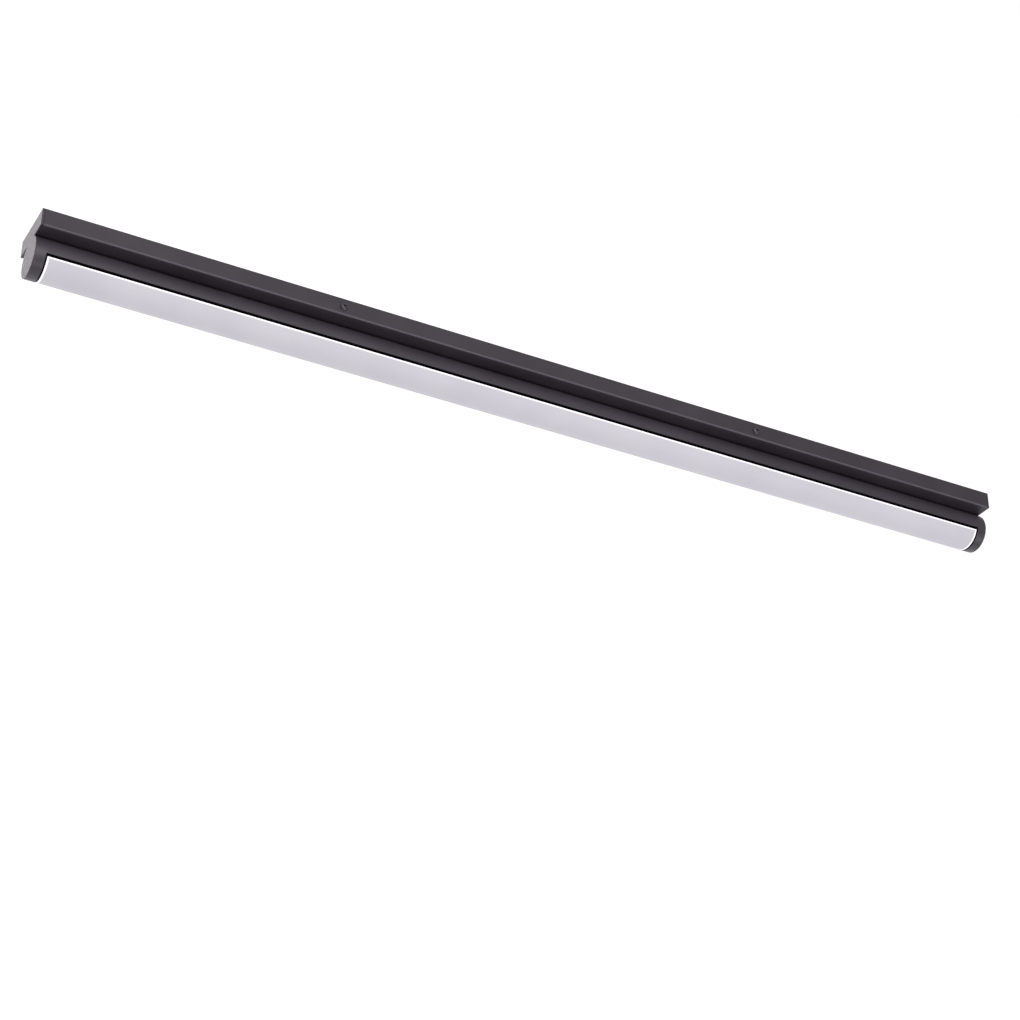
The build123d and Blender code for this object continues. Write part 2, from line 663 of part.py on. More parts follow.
def lamp_lead(name, offset):
    """One lamp lead: from the driver, through the bush into the tube, and to the board's socket."""
    z = BUSH_Z + offset
    socket = -BOARD_FACE - 2
    points = [(290, -LEAD_DEPTH, z), (268, -LEAD_DEPTH, z), (247.5, -LEAD_DEPTH - 1, z)]
    points += [(245.8, -LEAD_DEPTH - 9, z), (245.8, socket + 8, z), (246.8, socket, z), (264, socket, z)]
    return wire(name, points, LAMP_WIRE)


def wire_saddles():
    """Nylon saddles on the canopy's floor that hold the mains wires."""
    pieces = []
    for x in SADDLE_X:
        foot = block(x - 3, x + 3, CANOPY_FLOOR - 0.8, CANOPY_FLOOR, 3.6, 10.8)
        arch = block(x - 2, x + 2, 9.0, CANOPY_FLOOR, 4.2, 11.0)
        hollow = block(x - 3, x + 3, 9.9, CANOPY_FLOOR - 0.8, 5.2, 10.4)
        pieces.append(foot + arch - hollow)
    return group(pieces)


# ---- fixing screws and their nuts ----------------------------------------------------------------------


def nut_cages():
    """Bent steel cages in the upper rails. Each keeps a square nut from turning or falling."""
    pieces = []
    for x in (-FIX_X, FIX_X):
        leg_back = CANOPY_FLOOR - LIP_FROM_FLOOR + 0.05
        cage = block(x - 8, x + 8, leg_back, CANOPY_FLOOR, 13.1, 22.4)
        shelf = block(x - 4.8, x + 4.8, CAGE_BACK, leg_back, 20.6, 20.6 + CAGE_SHEET)
        cage += shelf - along_z(2.5, x, FIX_DEPTH, 20, 22)
        for side in (-1, 1):
            cheek = sorted((x + side * 4.0, x + side * (4.0 + CAGE_SHEET)))
            cage += block(*cheek, CAGE_BACK, 13.2, 20.6, 23.6)
        pieces.append(cage)
    return group(pieces)


def clamp_nuts():
    """Square nuts under the bracket's tabs."""
    pieces = []
    for x in (-FIX_X, FIX_X):
        nut = block(x - NUT_HALF, x + NUT_HALF, FIX_DEPTH - NUT_HALF, FIX_DEPTH + NUT_HALF, *NUT_Z)
        nut = chamfer(nut.edges().filter_by(Axis.Z), 0.5)
        pieces.append(nut - along_z(FIX_RADIUS + 0.05, x, FIX_DEPTH, 21, 25))
    return group(pieces)


def fixing_screw(x):
    """A button-head screw on the canopy's upper side, turned with a hex key."""
    top = CANOPY_HEIGHT / 2
    dome_radius = (FIX_HEAD_RADIUS**2 + FIX_HEAD_HEIGHT**2) / (2 * FIX_HEAD_HEIGHT)
    dome_radius *= FIX_DOME_FLATTER
    ball = Pos(x, -FIX_DEPTH, top + FIX_HEAD_HEIGHT - dome_radius) * Sphere(dome_radius)
    head = along_z(FIX_HEAD_RADIUS, x, FIX_DEPTH, top, top + FIX_HEAD_HEIGHT) & ball
    socket = extrude(RegularPolygon(FIX_SOCKET_FLATS / 2, 6, major_radius=False), FIX_SOCKET_DEPTH + 1)
    head -= Pos(x, -FIX_DEPTH, top + FIX_HEAD_HEIGHT - FIX_SOCKET_DEPTH) * socket
    shank = along_z(FIX_RADIUS, x, FIX_DEPTH, top - FIX_LENGTH, top)
    tip = shank.edges().filter_by(GeomType.CIRCLE).sort_by(Axis.Z)[:1]
    return head + chamfer(tip, 0.4)


PARTS = {
    "bracket_strip": bracket_strip,
    "hanger_left": lambda: hanger(-FIX_X),
    "hanger_right": lambda: hanger(FIX_X),
    "earth_lug": earth_lug,
    "cable_grommet": cable_grommet,
    "bracket_earth_screw": bracket_earth_screw,
    "bracket_earth_washer": bracket_earth_washer,
    "canopy_housing": canopy_housing,
    "tube_housing": tube_housing,
    "diffuser": diffuser,
    "end_cap_left": lambda: mirrored(end_cap_right()),
    "end_cap_right": end_cap_right,
    "end_seal_left": lambda: mirrored(end_seal_right()),
    "end_seal_right": end_seal_right,
    "tube_screws": tube_screws,
    "tube_washers": tube_washers,
    "wire_bush": wire_bush,
    "led_board_left": lambda: led_board(-1),
    "led_board_right": lambda: led_board(1),
    "leds_left": lambda: leds(-1),
    "leds_right": lambda: leds(1),
    "thermal_tape": thermal_tape,
    "board_screws": board_screws,
    "board_link": board_link,
    "board_connector": board_connector,
    "driver_base": driver_base,
    "driver_lid": driver_lid,
    "driver_board": driver_board,
    "driver_transformer": driver_transformer,
    "driver_capacitors": driver_capacitors,
    "driver_choke": driver_choke,
    "driver_rectifier": driver_rectifier,
    "driver_fuse": driver_fuse,
    "driver_tape": driver_tape,
    "terminal_plate": terminal_plate,
    "terminal_block": terminal_block,
    "terminal_inserts": terminal_inserts,
    "terminal_screws": terminal_screws,
    "terminal_fixing_screw": terminal_fixing_screw,
    "earth_tag": earth_tag,
    "mains_live": mains_live,
    "mains_neutral": mains_neutral,
    "earth_lead": earth_lead,
    "lamp_lead_positive": lambda: lamp_lead("lamp_lead_positive", LEAD_SPREAD),
    "lamp_lead_negative": lambda: lamp_lead("lamp_lead_negative", -LEAD_SPREAD),
    "wire_saddles": wire_saddles,
    "nut_cages": nut_cages,
    "clamp_nuts": clamp_nuts,
    "fixing_screw_left": lambda: fixing_screw(-FIX_X),
    "fixing_screw_right": lambda: fixing_screw(FIX_X),
}

os.makedirs("parts", exist_ok=True)
for node, make in PARTS.items():
    export_step(make(), f"parts/{node}.step")
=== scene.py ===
# %% [markdown]
# # A vanity light bar
# The CAD model gives every part of the lamp in its place: a shallow wall canopy, a round lamp tube
# along its front, end caps, and what they hold. This script dresses it: it gives each part the
# finish it has on the real lamp, makes the small repeated pieces that CAD leaves plain, and
# lights the result like a catalogue picture. Blender works in metres and so does this file.

# %% Load the CAD model as a fixed frame
import json
import math

import bmesh
import bpy
from mathutils import Matrix, Vector


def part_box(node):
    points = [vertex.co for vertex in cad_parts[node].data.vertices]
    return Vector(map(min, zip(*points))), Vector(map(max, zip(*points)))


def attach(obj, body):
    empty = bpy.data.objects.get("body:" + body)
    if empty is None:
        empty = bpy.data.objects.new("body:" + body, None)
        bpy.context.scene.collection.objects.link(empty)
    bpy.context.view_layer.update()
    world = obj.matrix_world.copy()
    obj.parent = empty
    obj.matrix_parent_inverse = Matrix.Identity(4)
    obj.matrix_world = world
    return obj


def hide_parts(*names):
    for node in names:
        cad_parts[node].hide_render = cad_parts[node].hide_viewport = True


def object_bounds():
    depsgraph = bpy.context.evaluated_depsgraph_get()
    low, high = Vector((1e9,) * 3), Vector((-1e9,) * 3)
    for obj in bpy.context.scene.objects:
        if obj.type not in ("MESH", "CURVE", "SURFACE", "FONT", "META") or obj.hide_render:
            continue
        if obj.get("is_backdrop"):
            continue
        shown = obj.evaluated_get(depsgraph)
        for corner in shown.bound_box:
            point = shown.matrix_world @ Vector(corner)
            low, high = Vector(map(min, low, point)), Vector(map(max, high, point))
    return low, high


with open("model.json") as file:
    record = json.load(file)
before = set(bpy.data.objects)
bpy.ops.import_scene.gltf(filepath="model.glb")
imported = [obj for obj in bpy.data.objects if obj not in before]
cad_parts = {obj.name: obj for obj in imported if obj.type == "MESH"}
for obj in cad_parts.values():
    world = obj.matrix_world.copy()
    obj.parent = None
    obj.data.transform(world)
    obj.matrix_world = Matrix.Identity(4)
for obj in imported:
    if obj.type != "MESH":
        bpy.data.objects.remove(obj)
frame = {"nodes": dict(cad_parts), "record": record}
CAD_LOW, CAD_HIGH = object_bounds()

MM = 0.001
NODES = frame["nodes"]
scene = bpy.context.scene
print("CAD box", [round(v / MM, 1) for v in (*CAD_LOW, *CAD_HIGH)], "mm,", len(NODES), "nodes")

# %% [markdown]
# ## The camera first
# The bar is seen from high up and to its left, so that the picture shows its upper side, its front
# and its left end at once. A long lens keeps the far end from shrinking much. The view is written
# in plain terms: where the camera stands, the way it faces, how far it tips down and how far it
# is rolled. A camera aimed by a constraint would need an extra object to aim at.

# %% Place the camera
CAMERA_PLACE = Vector((-0.9192, -1.2514, 1.6622))
HEADING, TIP, ROLL = math.radians(38.84), math.radians(49.71), math.radians(46.77)
LENS = 85.15

forward = Vector((math.sin(HEADING) * math.cos(TIP), math.cos(HEADING) * math.cos(TIP), -math.sin(TIP)))
level = Vector((math.cos(HEADING), -math.sin(HEADING), 0))
right = Matrix.Rotation(-ROLL, 3, forward) @ level
up = right.cross(forward)
lens = bpy.data.cameras.new("camera")
lens.lens = LENS
lens.clip_end = 200
camera = bpy.data.objects.new("camera", lens)
camera.matrix_world = Matrix.Translation(CAMERA_PLACE) @ Matrix((right, up, -forward)).transposed().to_4x4()
scene.collection.objects.link(camera)
scene.camera = camera
print("camera right", [round(v, 4) for v in right], "up", [round(v, 4) for v in up])

# %% [markdown]
# ## Two helpers for nodes and colour
# Shaders and Geometry Nodes are both trees of nodes, so one function adds a node to either: it
# takes the node's settings by name, and for each input a number or another node's output to link.
# Colours are written as the sRGB hex that a paint chart gives. Blender mixes light in linear
# values, so one function turns hex into those.

# %% Helpers
def add(tree, kind, inputs=None, **settings):
    """Adds a node with its settings. An input is a value, or an output socket to link from."""
    node = tree.nodes.new(kind)
    for name, value in settings.items():
        setattr(node, name, value)
    for key, value in (inputs or {}).items():
        if isinstance(value, bpy.types.NodeSocket):
            tree.links.new(value, node.inputs[key])
        else:
            node.inputs[key].default_value = value
    return node


def colour(code):
    """Linear RGBA of an sRGB hex colour."""
    parts = [int(code[i : i + 2], 16) / 255 for i in (1, 3, 5)]
    return (*[p / 12.92 if p <= 0.04045 else ((p + 0.055) / 1.055) ** 2.4 for p in parts], 1.0)


# %% [markdown]
# ## How a finish is put together
# No real surface is one flat colour. Three small layers make most finishes: a colour that drifts
# between two shades, a sheen that drifts between smoother and duller, and a fine relief. Each takes
# its size in millimetres and reads Object coordinates, which here are the lamp's own metres, so a
# pattern keeps its true scale on every part and stays put when the part moves.

# %% The three layers
def start(name, roughness, **sockets):
    """A new material whose shader has these values all over."""
    made = bpy.data.materials.new(name)
    made.use_nodes = True
    shader = made.node_tree.nodes["Principled BSDF"]
    shader.inputs["Roughness"].default_value = roughness
    for key, value in sockets.items():
        shader.inputs[key.replace("_", " ").title().replace("Ior", "IOR")].default_value = value
    return made


def patches(made, size, stretch=(1, 1, 1), detail=3.0):
    """Soft random patches of about size millimetres, drawn out where stretch is under 1."""
    tree = made.node_tree
    place = add(tree, "ShaderNodeTexCoord").outputs["Object"]
    drawn = add(tree, "ShaderNodeMapping", {"Vector": place, "Scale": stretch}).outputs["Vector"]
    sizes = {"Vector": drawn, "Scale": 1 / (size * MM), "Detail": detail}
    return add(tree, "ShaderNodeTexNoise", sizes).outputs["Fac"]


def shades(made, low, high, factor):
    """Base colour between two shades, by a pattern."""
    tree = made.node_tree
    ramp = add(tree, "ShaderNodeValToRGB", {"Fac": factor})
    ramp.color_ramp.elements[0].position, ramp.color_ramp.elements[1].position = 0.32, 0.68
    ramp.color_ramp.elements[0].color, ramp.color_ramp.elements[1].color = colour(low), colour(high)
    tree.links.new(ramp.outputs["Color"], tree.nodes["Principled BSDF"].inputs["Base Color"])


def sheen(made, low, high, factor):
    """Roughness between two values, by a pattern."""
    tree = made.node_tree
    spread = {"Value": factor, "From Min": 0.3, "From Max": 0.7, "To Min": low, "To Max": high}
    drift = add(tree, "ShaderNodeMapRange", spread)
    tree.links.new(drift.outputs["Result"], tree.nodes["Principled BSDF"].inputs["Roughness"])


def relief(made, height, factor):
    """Bumps of this height in millimetres, by a pattern."""
    tree = made.node_tree
    bump = add(tree, "ShaderNodeBump", {"Height": factor, "Distance": height * MM})
    tree.links.new(bump.outputs["Normal"], tree.nodes["Principled BSDF"].inputs["Normal"])


# %% [markdown]
# ## Black powder coat and moulded caps
# The canopy and the tube are aluminium under a matt black powder coat.
# Powder melts into a skin with a faint orange-peel ripple, which breaks up long reflections. The
# end caps are moulded plastic of the same black, finely spark-eroded, a little smoother, so they
# take a brighter sheen at a low angle. Both blacks are warm grey-violet when light rakes them.

# %% Black finishes
EDGE_WIDE = 1.4 * MM
CANOPY_LOW, CANOPY_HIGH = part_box("canopy_housing")


def black_powder_coat():
    """Polyester powder coat: orange peel is 1 to 2 mm across and a few hundredths of a mm deep.

    The paler band on the canopy's front upper edge stands for the light that a rounded edge
    catches. It is painted on, so it shows from every side, where a true highlight would not.
    """
    made = start("powder_coat_matt_black", 0.5)
    shades(made, "#332e36", "#3a343d", patches(made, 45))
    sheen(made, 0.46, 0.56, patches(made, 8))
    relief(made, 0.02, patches(made, 1.6))
    tree = made.node_tree
    shader = tree.nodes["Principled BSDF"]
    place = add(tree, "ShaderNodeTexCoord").outputs["Object"]
    _, y, z = add(tree, "ShaderNodeSeparateXYZ", {"Vector": place}).outputs
    front = {0: y, 1: CANOPY_LOW.y + EDGE_WIDE}
    above = {0: z, 1: CANOPY_HIGH.z - EDGE_WIDE}
    front = add(tree, "ShaderNodeMath", front, operation="LESS_THAN").outputs[0]
    above = add(tree, "ShaderNodeMath", above, operation="GREATER_THAN").outputs[0]
    edge = add(tree, "ShaderNodeMath", {0: front, 1: above}, operation="MULTIPLY").outputs[0]
    mixed = add(tree, "ShaderNodeMix", {"Factor": edge}, data_type="RGBA")
    tree.links.new(shader.inputs["Base Color"].links[0].from_socket, mixed.inputs[6])
    mixed.inputs[7].default_value = colour("#524c57")
    tree.links.new(mixed.outputs[2], shader.inputs["Base Color"])
    return made


def black_moulding():
    """Moulded ABS with a spark-eroded skin: grit of about 0.3 mm, drawn at 0.8 mm so that it shows."""
    made = start("abs_moulded_black", 0.4, ior=1.53)
    shades(made, "#353037", "#3d3740", patches(made, 12))
    sheen(made, 0.36, 0.46, patches(made, 4))
    relief(made, 0.012, patches(made, 0.8))
    return made


def black_plated_steel():
    """Black zinc-nickel plate on a steel screw: a darker, tighter sheen than paint."""
    made = start("zinc_nickel_black", 0.4, metallic=0.25)
    shades(made, "#3c373f", "#4c474f", patches(made, 1.5))
    sheen(made, 0.34, 0.46, patches(made, 0.9))
    relief(made, 0.004, patches(made, 0.5))
    return made


# %% [markdown]
# ## The opal diffuser
# The cover is co-extruded opal polycarbonate. Its body scatters the light of the LED row behind it
# into an even glow. Along its edges, where it thickens into its clips and where it meets the caps,
# the glow is brighter in a thin rim: partly light that the thick edges guide out, and partly a
# painted highlight for the light that a rounded edge catches. A rim could be a second lit strip, but
# it belongs to the same plastic, so it is a band in the same material, found from the angle round
# the tube's axis.

# %% Opal polycarbonate
TUBE_AXIS = 34.0 * MM
DIFFUSER_HALF = math.radians(70.5)
RIM_WIDE = 1.25 * MM
tube_low, tube_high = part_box("diffuser")
TUBE_RADIUS = -tube_low.y - TUBE_AXIS
TUBE_END = tube_high.x


def round_and_along(tree):
    """The angle away from straight ahead round the tube's axis, and the distance from mid-length."""
    place = add(tree, "ShaderNodeTexCoord").outputs["Object"]
    x, y, z = add(tree, "ShaderNodeSeparateXYZ", {"Vector": place}).outputs
    ahead = add(tree, "ShaderNodeMath", {0: -TUBE_AXIS, 1: y}, operation="SUBTRACT").outputs[0]
    angle = add(tree, "ShaderNodeMath", {0: z, 1: ahead}, operation="ARCTAN2").outputs[0]
    turn = add(tree, "ShaderNodeMath", {0: angle}, operation="ABSOLUTE").outputs[0]
    along = add(tree, "ShaderNodeMath", {0: x}, operation="ABSOLUTE").outputs[0]
    return turn, along


def opal():
    """Satin opal with a glow, brighter in a rim along each edge and at each end: partly edge glow, partly
    painted highlight.
    """
    made = start("polycarbonate_opal", 0.7, ior=1.58, emission_strength=1.0, specular_ior_level=0.08)
    shades(made, "#a09ea4", "#a8a6ab", patches(made, 60))
    relief(made, 0.01, patches(made, 1.2))
    tree = made.node_tree
    turn, along = round_and_along(tree)
    rim_turn = DIFFUSER_HALF - RIM_WIDE / TUBE_RADIUS
    edge = {"Value": turn, "From Min": rim_turn - 0.03, "From Max": rim_turn + 0.03}
    end = {"Value": along, "From Min": TUBE_END - 1.4 * RIM_WIDE, "From Max": TUBE_END - RIM_WIDE}
    by_edge = add(tree, "ShaderNodeMapRange", edge, interpolation_type="SMOOTHSTEP").outputs["Result"]
    by_end = add(tree, "ShaderNodeMapRange", end, interpolation_type="SMOOTHSTEP").outputs["Result"]
    rim = add(tree, "ShaderNodeMath", {0: by_edge, 1: by_end}, operation="MAXIMUM").outputs[0]
    glow = add(tree, "ShaderNodeValToRGB", {"Fac": rim})
    glow.color_ramp.elements[0].color = colour("#8b8890")
    glow.color_ramp.elements[1].color = colour("#f4f4fa")
    tree.links.new(glow.outputs["Color"], tree.nodes["Principled BSDF"].inputs["Emission Color"])
    return made


# %% [markdown]
# ## Painted shade: the black line round the cover
# Beside the cover runs a narrow step, and the cap has the same step where it meets the cover. The
# shade in that step is painted as a dead black, dull line a little wider than the step. Sealant or
# deep shadow would both look like that, so this is a finish and not a piece: it could be a swept
# bead, but that would claim a part that may not be there. One function paints the line into either
# black finish, by the angle round the tube's axis and the distance along it.

# %% Painted shade: a dull black line round the cover
LINE_TURN = math.radians(78.3)
LINE_END = 1.7 * MM


def painted_shade_lined(made):
    """Mixes dead black, a painted shade, into a finish inside the bounds of the line, and dulls it there."""
    tree = made.node_tree
    shader = tree.nodes["Principled BSDF"]
    coat = shader.inputs["Base Color"].links[0].from_socket
    turn, along = round_and_along(tree)
    inside = add(tree, "ShaderNodeMath", {0: turn, 1: LINE_TURN}, operation="LESS_THAN").outputs[0]
    near = add(tree, "ShaderNodeMath", {0: along, 1: TUBE_END + LINE_END}, operation="LESS_THAN").outputs[0]
    line = add(tree, "ShaderNodeMath", {0: inside, 1: near}, operation="MULTIPLY").outputs[0]
    mixed = add(tree, "ShaderNodeMix", {"Factor": line}, data_type="RGBA")
    tree.links.new(coat, mixed.inputs[6])
    mixed.inputs[7].default_value = colour("#030204")
    tree.links.new(mixed.outputs[2], shader.inputs["Base Color"])
    dull = add(tree, "ShaderNodeMapRange", {"Value": line, "To Min": 0.5, "To Max": 0.02})
    tree.links.new(dull.outputs["Result"], shader.inputs["Specular IOR Level"])
    return made


# %% [markdown]
# ## Metals inside and behind
# The wall bracket is pressed from zinc-plated steel: the plate is bright, bluish and cloudy. The
# small screws are plain passivated steel, turned and rolled, so their marks run round them. The
# terminal barrels are turned brass. Metals keep the default IOR, and their colour is their own.

# %% Metals
def zinc_plate():
    """Bright zinc on rolled steel: cloudy patches, and rolling lines along the strip."""
    made = start("zinc_plated_steel", 0.34, metallic=1.0)
    shades(made, "#a9adb3", "#c9ccd0", patches(made, 9))
    sheen(made, 0.26, 0.42, patches(made, 2.5, stretch=(0.05, 1, 1)))
    relief(made, 0.004, patches(made, 0.6, stretch=(0.04, 1, 1)))
    return made


def turned_steel():
    """Passivated steel: fine turning marks, and a duller film in patches."""
    made = start("steel_passivated", 0.33, metallic=1.0)
    shades(made, "#98999b", "#bdbdbf", patches(made, 1.8))
    sheen(made, 0.25, 0.42, patches(made, 0.7))
    relief(made, 0.003, patches(made, 0.3))
    return made


def turned_brass():
    """Free-cutting brass, bright where the tool passed and browner in patches."""
    made = start("brass_turned", 0.3, metallic=1.0)
    shades(made, "#b08a45", "#d3b06a", patches(made, 1.5))
    sheen(made, 0.22, 0.4, patches(made, 0.6, stretch=(1, 0.2, 1)))
    relief(made, 0.003, patches(made, 0.3))
    return made


def enamelled_copper():
    """Copper winding wire under a clear amber enamel."""
    made = start("copper_enamelled", 0.28, metallic=0.9, coat_weight=0.6)
    shades(made, "#8f4526", "#b86238", patches(made, 0.8))
    return made


def tin():
    """Tinned ends of the small parts on the boards."""
    made = start("tin_reflowed", 0.3, metallic=1.0)
    shades(made, "#b4b6b8", "#d6d7d8", patches(made, 0.5))
    relief(made, 0.01, patches(made, 0.4))
    return made


# %% [markdown]
# ## Plastics, rubber and wire
# Each insulator has its own look. Nylon is milky and waxy. The driver's case is white moulded
# polycarbonate with a fine texture. Rubber is dull with a bloom. PVC wire is smooth with a soft
# gloss, and the earth wire is green with a yellow stripe on two sides. The stripe follows the way
# the surface faces, which is the same from every viewpoint, so it runs true along a bent wire.

# %% Plastics and rubber
def plain_moulding(name, low, high, roughness, patch, grain):
    """A moulded part: slight drift of shade, even sheen and a fine tool texture."""
    made = start(name, roughness, ior=1.5)
    shades(made, low, high, patches(made, patch))
    sheen(made, roughness - 0.05, roughness + 0.06, patches(made, patch / 3))
    relief(made, 0.01, patches(made, grain))
    return made


def waxy_nylon():
    """Natural nylon 66: milky, so a little light passes through its skin."""
    made = plain_moulding("nylon_natural", "#d8d4c8", "#e6e3da", 0.42, 5, 0.7)
    shader = made.node_tree.nodes["Principled BSDF"]
    shader.inputs["Subsurface Weight"].default_value = 0.2
    shader.inputs["Subsurface Scale"].default_value = 0.8 * MM
    return made


def pvc(name, low, high):
    """Extruded PVC: glossy, with faint bands from the die."""
    made = start(name, 0.38, ior=1.53)
    shades(made, low, high, patches(made, 6))
    relief(made, 0.008, patches(made, 0.9, stretch=(0.2, 1, 1)))
    return made


def striped_pvc():
    """Earth wire: green, with yellow where the skin faces the wall or the lamp."""
    made = pvc("pvc_earth_green_yellow", "#3f7d22", "#4c8c2b")
    tree = made.node_tree
    facing = add(tree, "ShaderNodeNewGeometry").outputs["Normal"]
    depthwise = add(tree, "ShaderNodeSeparateXYZ", {"Vector": facing}).outputs["Y"]
    side = add(tree, "ShaderNodeMath", {0: depthwise}, operation="ABSOLUTE").outputs[0]
    stripe = add(tree, "ShaderNodeMapRange", {"Value": side, "From Min": 0.76, "From Max": 0.8})
    green = next(n for n in tree.nodes if n.type == "VALTORGB").outputs["Color"]
    mixed = add(tree, "ShaderNodeMix", {"Factor": stripe.outputs["Result"]}, data_type="RGBA")
    tree.links.new(green, mixed.inputs[6])
    mixed.inputs[7].default_value = colour("#d8c21f")
    tree.links.new(mixed.outputs[2], tree.nodes["Principled BSDF"].inputs["Base Color"])
    return made


# %% [markdown]
# ## Boards and their parts
# The LED boards are aluminium under white solder mask, where copper tracks show as faint steps. The
# driver's board is green mask over woven glass. Ferrite is sintered and matt, a capacitor wears a
# tight shrink sleeve, and the phosphor over an LED is soft yellow silicone.

# %% Board finishes
def solder_mask(name, low, high, track):
    """Solder mask: a gloss skin, with copper tracks under it as low flat steps."""
    made = start(name, 0.3, ior=1.5, coat_weight=0.3)
    tree = made.node_tree
    place = add(tree, "ShaderNodeTexCoord").outputs["Object"]
    cells = {"Vector": place, "Scale": 1 / (track * MM), "Randomness": 0.6}
    squares = add(tree, "ShaderNodeTexVoronoi", cells, distance="CHEBYCHEV", feature="F1")
    step = {"Value": squares.outputs["Distance"], "From Min": 0.36, "From Max": 0.4}
    tracks = add(tree, "ShaderNodeMapRange", step).outputs["Result"]
    shades(made, low, high, tracks)
    relief(made, 0.035, tracks)
    return made


def soft_phosphor():
    """Silicone with phosphor powder, slightly grainy."""
    made = start("silicone_phosphor", 0.35, ior=1.41)
    shades(made, "#d9c052", "#ecd878", patches(made, 0.4))
    relief(made, 0.01, patches(made, 0.25))
    return made


# %% [markdown]
# ## One material for each slot of the record
# The record names the slot that each CAD part is finished in. One table links slot to material,
# and a loop hands them out, so no part is left plain and a new part gets its finish by itself.

# %% Give every CAD part its finish
FINISHES = {
    "powder_coat": black_powder_coat(),
    # The caps carry the painted shade line where they meet the cover.
    "cap_plastic": painted_shade_lined(black_moulding()),
    "opal": opal(),
    "zinc_steel": zinc_plate(),
    "black_screw": black_plated_steel(),
    "steel": turned_steel(),
    "brass": turned_brass(),
    "rubber_black": plain_moulding("epdm_black", "#232224", "#2c2b2d", 0.7, 5, 0.5),
    "nylon_white": waxy_nylon(),
    "board_white": solder_mask("solder_mask_white", "#dfe1df", "#eceeec", 5.0),
    "led_phosphor": soft_phosphor(),
    "tape_grey": plain_moulding("silicone_pad_grey", "#8f949c", "#a0a5ac", 0.75, 3, 0.6),
    "foam_tape": plain_moulding("acrylic_foam_grey", "#4a4a4c", "#5b5b5d", 0.9, 1.2, 0.5),
    "driver_case": plain_moulding("polycarbonate_white", "#d9d9d6", "#e6e6e3", 0.45, 25, 0.8),
    "circuit_board": solder_mask("solder_mask_green", "#17502c", "#26703f", 2.4),
    "ferrite": plain_moulding("ferrite_sintered", "#333335", "#414144", 0.6, 1.5, 0.4),
    "capacitor_sleeve": plain_moulding("shrink_sleeve_navy", "#1c2748", "#26345c", 0.25, 6, 1.5),
    "epoxy_black": plain_moulding("epoxy_moulded_black", "#1e1e20", "#29292b", 0.45, 2, 0.5),
    "fuse_glass": plain_moulding("ceramic_fired", "#d6d0c2", "#e3dfd3", 0.4, 2, 0.6),
    "wire_brown": pvc("pvc_brown", "#54301b", "#623a22"),
    "wire_blue": pvc("pvc_blue", "#1c4c9c", "#2558ad"),
    "wire_earth": striped_pvc(),
    "wire_red": pvc("pvc_red", "#96201c", "#a82a25"),
    "wire_black": pvc("pvc_black", "#242426", "#303033"),
}
SLOT_OF = {row["node"]: row["material_slot"] for row in frame["record"]["subparts"]}
for name, part in NODES.items():
    part.data.materials.clear()
    part.data.materials.append(FINISHES[SLOT_OF[name]])
# The tube's coat carries the painted shade line beside the cover.
TUBE_COAT = painted_shade_lined(black_powder_coat())
TUBE_COAT.name = "powder_coat_tube"
NODES["tube_housing"].data.materials[0] = TUBE_COAT
TIN = tin()
print(len(NODES), "parts in", len(set(SLOT_OF.values())), "finishes")

# %% [markdown]
# ## A workbench for Geometry Nodes
# Pieces that repeat or follow a path are made by Geometry Nodes. Each tree is written here with
# named inputs, put on a scratch object, given its sizes, and baked to a plain mesh. Sizes are set
# by each socket's identifier before Blender first works the tree out. Baking welds doubled points
# and turns all faces outwards, because swept and mirrored shapes can come out inside out.

# %% Make, fill in and bake a tree
def new_tree(name, inputs):
    """A geometry tree with a geometry input, the named inputs and a geometry output."""
    tree = bpy.data.node_groups.new(name, "GeometryNodeTree")
    tree.interface.new_socket("Geometry", in_out="INPUT", socket_type="NodeSocketGeometry")
    for label, kind in inputs.items():
        tree.interface.new_socket(label, in_out="INPUT", socket_type="NodeSocket" + kind)
    tree.interface.new_socket("Geometry", in_out="OUTPUT", socket_type="NodeSocketGeometry")
    given = add(tree, "NodeGroupInput")
    return tree, {socket.name: socket for socket in given.outputs}


def close_tree(tree, geometry, material):
    """Ends a tree: instances are made real and get their material."""
    real = add(tree, "GeometryNodeRealizeInstances", {"Geometry": geometry})
    painted = add(tree, "GeometryNodeSetMaterial", {"Geometry": real.outputs[0], "Material": material})
    add(tree, "NodeGroupOutput", {0: painted.outputs[0]})


def bake(name, tree, values, points=((0, 0, 0),), edges=()):
    """Runs a tree on a scratch mesh and returns the result as a plain, closed, outward mesh object."""
    seed = bpy.data.meshes.new(name + "_seed")
    seed.from_pydata([tuple(p) for p in points], list(edges), [])
    scratch = bpy.data.objects.new(name + "_seed", seed)
    modifier = scratch.modifiers.new("shape", "NODES")
    modifier.node_group = tree
    for socket in tree.interface.items_tree:
        if socket.in_out == "INPUT" and socket.name in values:
            modifier[socket.identifier] = values[socket.name]
    scene.collection.objects.link(scratch)
    evaluated = scratch.evaluated_get(bpy.context.evaluated_depsgraph_get())
    mesh = bpy.data.meshes.new_from_object(evaluated)
    scratch.modifiers.remove(modifier)
    bpy.data.objects.remove(scratch)
    shell = bmesh.new()
    shell.from_mesh(mesh)
    bmesh.ops.remove_doubles(shell, verts=shell.verts, dist=0.002 * MM)
    bmesh.ops.recalc_face_normals(shell, faces=shell.faces)
    open_edges = sum(not edge.is_manifold for edge in shell.edges)
    shell.to_mesh(mesh)
    shell.free()
    mesh.name = name
    made = bpy.data.objects.new(name, mesh)
    scene.collection.objects.link(made)
    print(name, len(mesh.polygons), "faces,", open_edges, "open edges")
    return made


def settle(piece, body, slot, *nodes):
    """Fixes a piece to its body and hides the CAD parts that it stands for. The slot is not used."""
    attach(piece, body)
    if nodes:
        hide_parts(*nodes)


